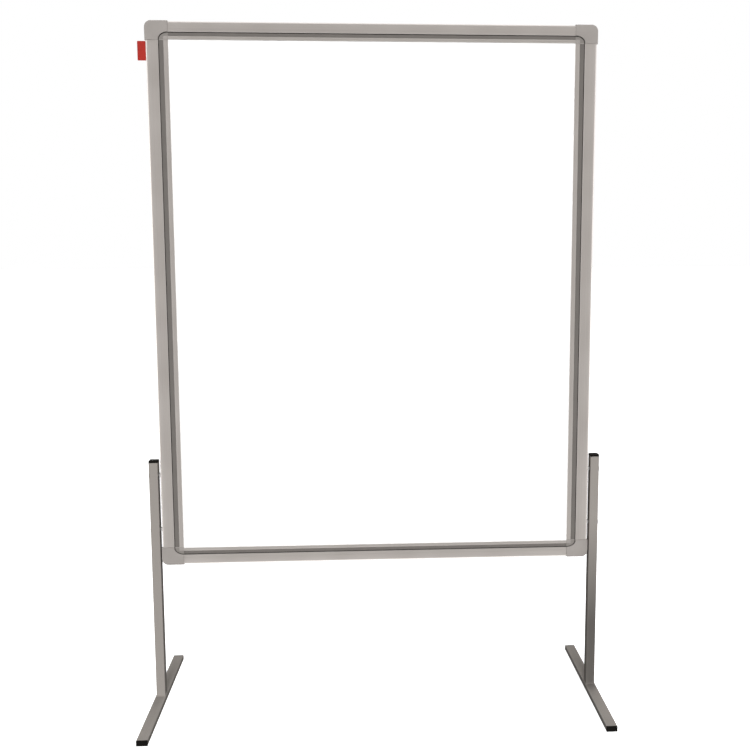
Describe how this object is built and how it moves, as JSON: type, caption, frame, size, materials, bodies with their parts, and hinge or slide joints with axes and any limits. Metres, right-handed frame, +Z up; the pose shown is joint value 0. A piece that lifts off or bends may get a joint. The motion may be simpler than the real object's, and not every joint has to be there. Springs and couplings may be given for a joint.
{
  "type": "whiteboard",
  "caption": "Free-standing portrait whiteboard: a double-sided enamel panel in an aluminium frame, clamped at adjustable height between two T-shaped legs with flat feet.",
  "frame": {"origin": "on the floor, under the middle of the board, midway between the two feet and between the front and back of the feet", "axes": "+X to the right across the board as seen from the front, +Y to the back, +Z up; the front writing face looks along -Y"},
  "size_m": [1.263, 0.5, 1.871],
  "materials": {
    "aluminium": "satin anodised",
    "groove_inlay": "matt, fine ribs along its length",
    "corner_plastic": "fine moulded grain",
    "cast_bracket": "as cast",
    "enamel": "glossy white enamel on steel",
    "core_board": "raw fibre board",
    "tab_red": "plain, smooth",
    "leg_paint": "silver-grey powder coat, satin",
    "black_plastic": "fine grain",
    "zinc_steel": "bright zinc"
  },
  "bodies": {
    "left_leg": {"left_post": "leg_paint", "left_post_cap": "black_plastic", "left_foot": "leg_paint", "left_foot_cap_front": "black_plastic", "left_foot_cap_back": "black_plastic", "clamp_bolt_left_lower": "zinc_steel", "washer_left_lower": "zinc_steel", "spacer_left_lower": "zinc_steel", "slot_nut_left_lower": "zinc_steel", "hole_plug_left_lower": "black_plastic", "clamp_bolt_left_upper": "zinc_steel", "washer_left_upper": "zinc_steel", "spacer_left_upper": "zinc_steel", "slot_nut_left_upper": "zinc_steel", "hole_plug_left_upper": "black_plastic"},
    "board": {"frame_stile_left": "aluminium", "groove_inlay_stile_left_front": "groove_inlay", "groove_inlay_stile_left_back": "groove_inlay", "frame_stile_right": "aluminium", "groove_inlay_stile_right_front": "groove_inlay", "groove_inlay_stile_right_back": "groove_inlay", "frame_rail_top": "aluminium", "groove_inlay_rail_top_front": "groove_inlay", "groove_inlay_rail_top_back": "groove_inlay", "frame_rail_bottom": "aluminium", "groove_inlay_rail_bottom_front": "groove_inlay", "groove_inlay_rail_bottom_back": "groove_inlay", "corner_bracket_top_left": "cast_bracket", "corner_cover_top_left_front": "corner_plastic", "corner_cover_top_left_back": "corner_plastic", "corner_bracket_top_right": "cast_bracket", "corner_cover_top_right_front": "corner_plastic", "corner_cover_top_right_back": "corner_plastic", "corner_bracket_bottom_left": "cast_bracket", "corner_cover_bottom_left_front": "corner_plastic", "corner_cover_bottom_left_back": "corner_plastic", "corner_bracket_bottom_right": "cast_bracket", "corner_cover_bottom_right_front": "corner_plastic", "corner_cover_bottom_right_back": "corner_plastic", "writing_sheet_front": "enamel", "panel_core": "core_board", "writing_sheet_back": "enamel", "side_tab": "tab_red"},
    "right_leg": {"right_post": "leg_paint", "right_post_cap": "black_plastic", "right_foot": "leg_paint", "right_foot_cap_front": "black_plastic", "right_foot_cap_back": "black_plastic", "clamp_bolt_right_lower": "zinc_steel", "washer_right_lower": "zinc_steel", "spacer_right_lower": "zinc_steel", "slot_nut_right_lower": "zinc_steel", "hole_plug_right_lower": "black_plastic", "clamp_bolt_right_upper": "zinc_steel", "washer_right_upper": "zinc_steel", "spacer_right_upper": "zinc_steel", "slot_nut_right_upper": "zinc_steel", "hole_plug_right_upper": "black_plastic"}
  },
  "joints": [
    {"name": "board_height", "type": "slide", "parent": "left_leg", "child": "board", "axis": [0, 0, 1], "range_m": [-0.35, 0.035]},
    {"name": "right_leg_height", "type": "slide", "parent": "board", "child": "right_leg", "axis": [0, 0, 1], "range_m": [-0.035, 0.35]}
  ],
  "couplings": [
    {"joint": "right_leg_height", "follows": "board_height", "ratio": -1}
  ]
}
